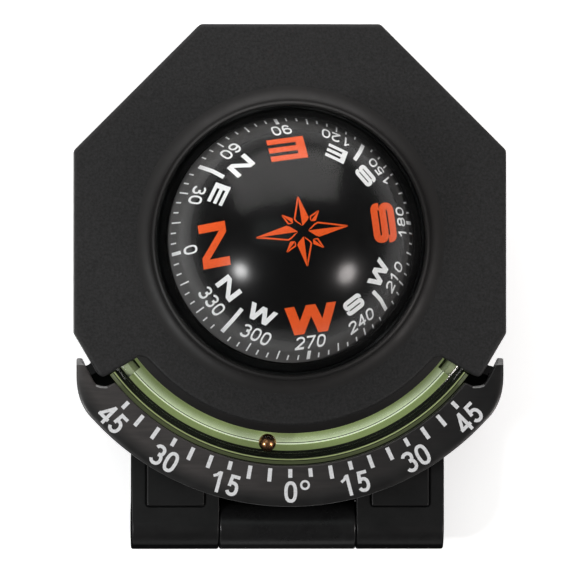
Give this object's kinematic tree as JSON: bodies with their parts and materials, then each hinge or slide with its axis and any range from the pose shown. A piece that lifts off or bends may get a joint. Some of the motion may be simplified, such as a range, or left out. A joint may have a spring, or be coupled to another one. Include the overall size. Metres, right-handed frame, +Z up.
{
  "type": "ball compass with slope gauge",
  "caption": "Liquid-filled ball compass in an octagonal black housing, with a curved ball slope gauge and a fold-flat hinged adhesive mount.",
  "frame": {"origin": "on the resting plane, under the centre of the object's footprint, with the mount folded flat", "axes": "+Z up from the resting plane; +Y from the hinge towards the top edge of the bezel; +X to the right as the face is read"},
  "size_m": [0.0696, 0.0842, 0.041],
  "materials": {
    "textured_black": "fine spark-eroded matte texture, near black",
    "moulded_black": "plain moulded satin-matte black",
    "scale_black": "smooth satin black with light grey printed scale",
    "card_black": "smooth black printed with white and orange marks",
    "clear_dome": "polished clear acrylic",
    "clear_tube": "polished clear tube",
    "luminous_green": "pale green luminous strip",
    "copper_ball": "polished copper-coloured ball",
    "steel": "turned steel",
    "brass": "turned brass",
    "rubber": "soft black rubber",
    "foam_pad": "closed-cell adhesive foam",
    "natural_nylon": "natural nylon",
    "jewel": "polished synthetic jewel",
    "magnet": "sintered magnet"
  },
  "bodies": {
    "base": {"base_plate": "moulded_black", "adhesive_pad": "foam_pad", "hinge_bush": "natural_nylon"},
    "housing": {"hinge_pin": "steel", "front_bezel": "textured_black", "rear_shell": "moulded_black", "scale_plate": "scale_black", "case_screw_upper_left": "steel", "case_screw_upper_right": "steel", "case_screw_lower_left": "steel", "case_screw_lower_right": "steel", "luminous_backing": "luminous_green", "inclinometer_tube": "clear_tube", "tube_plug_left": "natural_nylon", "tube_plug_right": "natural_nylon", "capsule_dome": "clear_dome", "capsule_bowl": "moulded_black", "capsule_seal": "rubber", "capsule_retainer": "moulded_black", "filler_plug": "rubber", "pivot_post": "natural_nylon", "fork_pin_left": "steel", "fork_pin_right": "steel"},
    "slope_ball": {"inclinometer_ball": "copper_ball"},
    "gimbal": {"gimbal_ring": "brass", "cradle_pin_front": "steel", "cradle_pin_rear": "steel"},
    "cradle": {"pivot_cradle": "brass", "pivot_needle": "steel"},
    "card": {"compass_card": "card_black", "card_closing_plate": "card_black", "balance_ring": "brass", "jewel_cup": "jewel", "card_magnet_left": "magnet", "card_magnet_right": "magnet"}
  },
  "joints": [
    {"name": "housing_tilt", "type": "hinge", "parent": "base", "child": "housing", "pos_m": [0, -0.03814, 0.005], "axis": [1, 0, 0], "range_deg": [0, 114]},
    {"name": "ball_roll", "type": "hinge", "parent": "housing", "child": "slope_ball", "pos_m": [0, 0.00695, 0.01968], "axis": [0, -0.0698, 0.9976], "range_deg": [-40.8, 53.2]},
    {"name": "gimbal_pitch", "type": "hinge", "parent": "housing", "child": "gimbal", "pos_m": [0, 0.00695, 0.01968], "axis": [1, 0, 0], "range_deg": [-14, 22]},
    {"name": "gimbal_roll", "type": "hinge", "parent": "gimbal", "child": "cradle", "pos_m": [0, 0.00695, 0.01968], "axis": [0, 1, 0], "range_deg": [-22, 14]},
    {"name": "card_spin", "type": "hinge", "parent": "cradle", "child": "card", "pos_m": [0, 0.00695, 0.01968], "axis": [0.0698, 0, 0.9976], "continuous": true}
  ]
}
